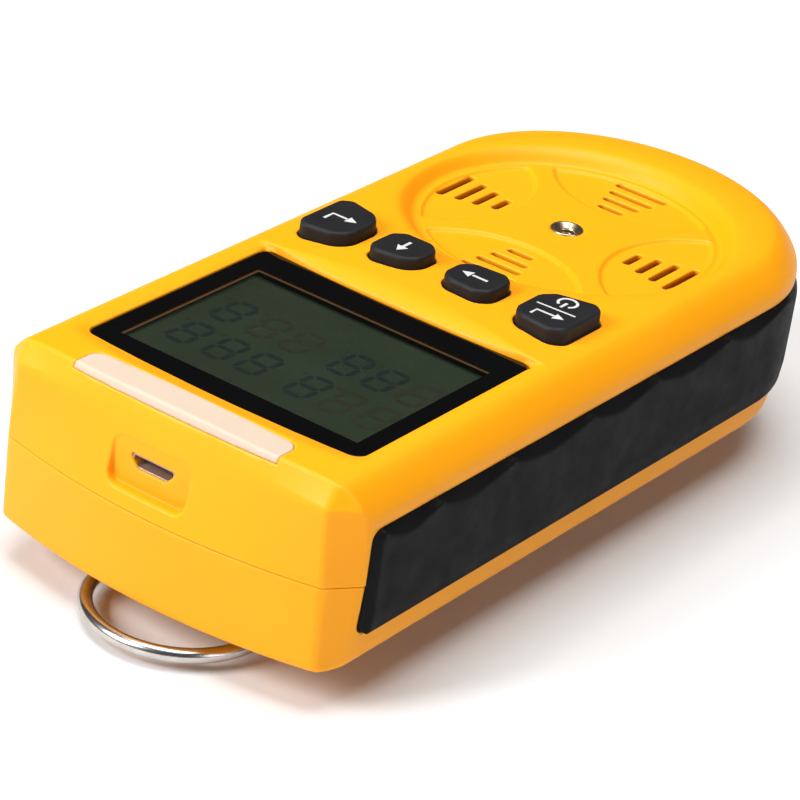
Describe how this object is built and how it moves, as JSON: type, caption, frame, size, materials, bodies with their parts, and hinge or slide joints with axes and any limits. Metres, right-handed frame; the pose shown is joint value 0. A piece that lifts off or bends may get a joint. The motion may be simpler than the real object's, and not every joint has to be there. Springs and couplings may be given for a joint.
{
  "type": "portable gas detector",
  "caption": "Hand-held gas detector with display, keypad, vented sensor end, rubber side grips, alarm light, charging port, sprung belt clip and hanging ring.",
  "frame": {"origin": "centre of the footprint on the resting plane, which is the outer face of the belt-clip lever", "axes": "+Z out of the display, +Y towards the charging-port end, +X to the right of a reader"},
  "size_m": [0.0684, 0.1487, 0.0396],
  "materials": {
    "yellow_case": "fine satin moulding",
    "seal_rubber": "matt",
    "zinc_screws": "satin",
    "grip_rubber": "matt soft-touch",
    "lens": "polished",
    "diffuser": "translucent satin",
    "key_rubber": "matt",
    "switch_plastic": "matt",
    "circuit_board": "solder mask",
    "lcd": "polished",
    "white_plastic": "satin",
    "dark_plastic": "matt",
    "led": "clear",
    "socket_steel": "bright",
    "motor_steel": "bright",
    "weight_metal": "sintered",
    "battery_wrap": "shrink wrap",
    "lead_insulation": "satin",
    "gold_contact": "bright",
    "sensor_white": "satin",
    "sensor_red": "satin",
    "sensor_blue": "satin",
    "sensor_steel": "satin",
    "filter_white": "matt",
    "brass_insert": "machined",
    "clip_steel": "satin",
    "spring_steel": "drawn wire",
    "ring_steel": "polished"
  },
  "bodies": {
    "case": {"front_shell": "yellow_case", "back_shell": "yellow_case", "case_seal": "seal_rubber", "case_screws": "zinc_screws", "left_grip": "grip_rubber", "right_grip": "grip_rubber", "lens_window": "lens", "alarm_light_bar": "diffuser", "key_switches": "switch_plastic", "main_board": "circuit_board", "board_screws": "zinc_screws", "lcd_glass": "lcd", "lcd_backlight": "white_plastic", "lcd_frame": "dark_plastic", "alarm_leds": "led", "usb_socket": "socket_steel", "buzzer": "dark_plastic", "vibration_motor": "motor_steel", "battery_pack": "battery_wrap", "battery_tray": "dark_plastic", "battery_leads": "lead_insulation", "board_header": "dark_plastic", "sensor_board": "circuit_board", "sensor_board_screws": "zinc_screws", "sensor_sockets": "gold_contact", "oxygen_sensor": "sensor_white", "carbon_monoxide_sensor": "sensor_red", "hydrogen_sulfide_sensor": "sensor_blue", "combustible_sensor": "sensor_steel", "sensor_gasket": "seal_rubber", "dust_filters": "filter_white", "threaded_insert": "brass_insert", "clip_base": "clip_steel", "clip_pin": "clip_steel", "clip_spring": "spring_steel", "clip_screws": "zinc_screws"},
    "key_power_body": {"key_power": "key_rubber"},
    "key_move_body": {"key_move": "key_rubber"},
    "key_up_body": {"key_up": "key_rubber"},
    "key_enter_body": {"key_enter": "key_rubber"},
    "motor_weight_body": {"motor_weight": "weight_metal"},
    "clip_lever_body": {"clip_lever": "clip_steel"},
    "hanging_ring_body": {"hanging_ring": "ring_steel"}
  },
  "joints": [
    {"name": "press_power_key", "type": "slide", "parent": "case", "child": "key_power_body", "axis": [0, 0, -1], "range_m": [0, 0.0008]},
    {"name": "press_move_key", "type": "slide", "parent": "case", "child": "key_move_body", "axis": [0, 0, -1], "range_m": [0, 0.0008]},
    {"name": "press_up_key", "type": "slide", "parent": "case", "child": "key_up_body", "axis": [0, 0, -1], "range_m": [0, 0.0008]},
    {"name": "press_enter_key", "type": "slide", "parent": "case", "child": "key_enter_body", "axis": [0, 0, -1], "range_m": [0, 0.0008]},
    {"name": "clip_lever_hinge", "type": "hinge", "parent": "case", "child": "clip_lever_body", "pos_m": [0, 0.01805, 0.0026], "axis": [1, 0, 0], "range_deg": [0, 16], "deforming": ["clip_spring"]},
    {"name": "ring_swing", "type": "hinge", "parent": "case", "child": "hanging_ring_body", "pos_m": [0, 0.04535, 0.0025], "axis": [1, 0, 0], "range_deg": [-110, 5]},
    {"name": "motor_weight_spin", "type": "hinge", "parent": "case", "child": "motor_weight_body", "pos_m": [0, 0.05325, 0.0218], "axis": [1, 0, 0], "continuous": true}
  ]
}
